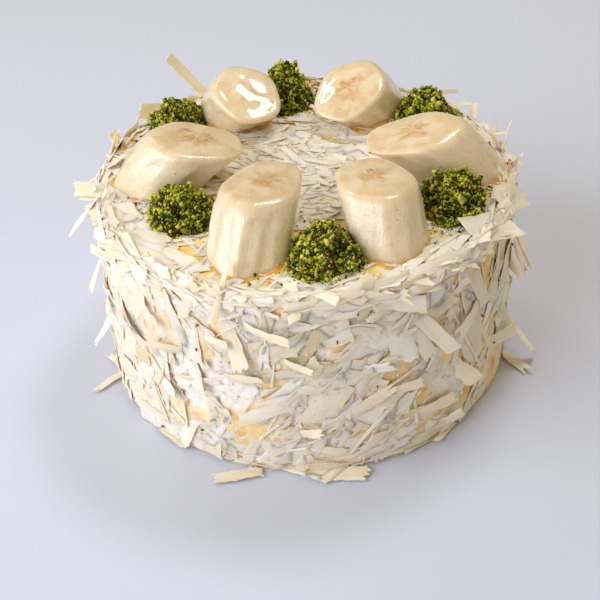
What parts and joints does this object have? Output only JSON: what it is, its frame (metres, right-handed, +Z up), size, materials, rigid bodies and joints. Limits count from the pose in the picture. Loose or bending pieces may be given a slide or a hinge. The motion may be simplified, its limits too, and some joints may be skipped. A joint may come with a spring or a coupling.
{
  "type": "banana cake",
  "caption": "Round cream-coated cake wrapped in white chocolate flakes, topped with a ring of glazed banana chunks and heaps of ground pistachio, to serve whole.",
  "frame": {"origin": "centre of the cake's flat base, on the surface it stands on", "axes": "+Z up; -Y towards the viewer in front; +X to the viewer's right"},
  "size_m": [0.2244, 0.2139, 0.1264],
  "materials": {
    "white_chocolate": "matt whipped cream under silky white chocolate flakes",
    "glazed_banana": "wet clear glaze over pale banana flesh",
    "ground_pistachio": "dry, rough, ground nut"
  },
  "bodies": {
    "root": {"cake": "white_chocolate", "banana_1": "glazed_banana", "banana_2": "glazed_banana", "banana_3": "glazed_banana", "banana_4": "glazed_banana", "banana_5": "glazed_banana", "banana_6": "glazed_banana", "pistachio_1": "ground_pistachio", "pistachio_2": "ground_pistachio", "pistachio_3": "ground_pistachio", "pistachio_4": "ground_pistachio", "pistachio_5": "ground_pistachio", "pistachio_6": "ground_pistachio"}
  },
  "joints": []
}
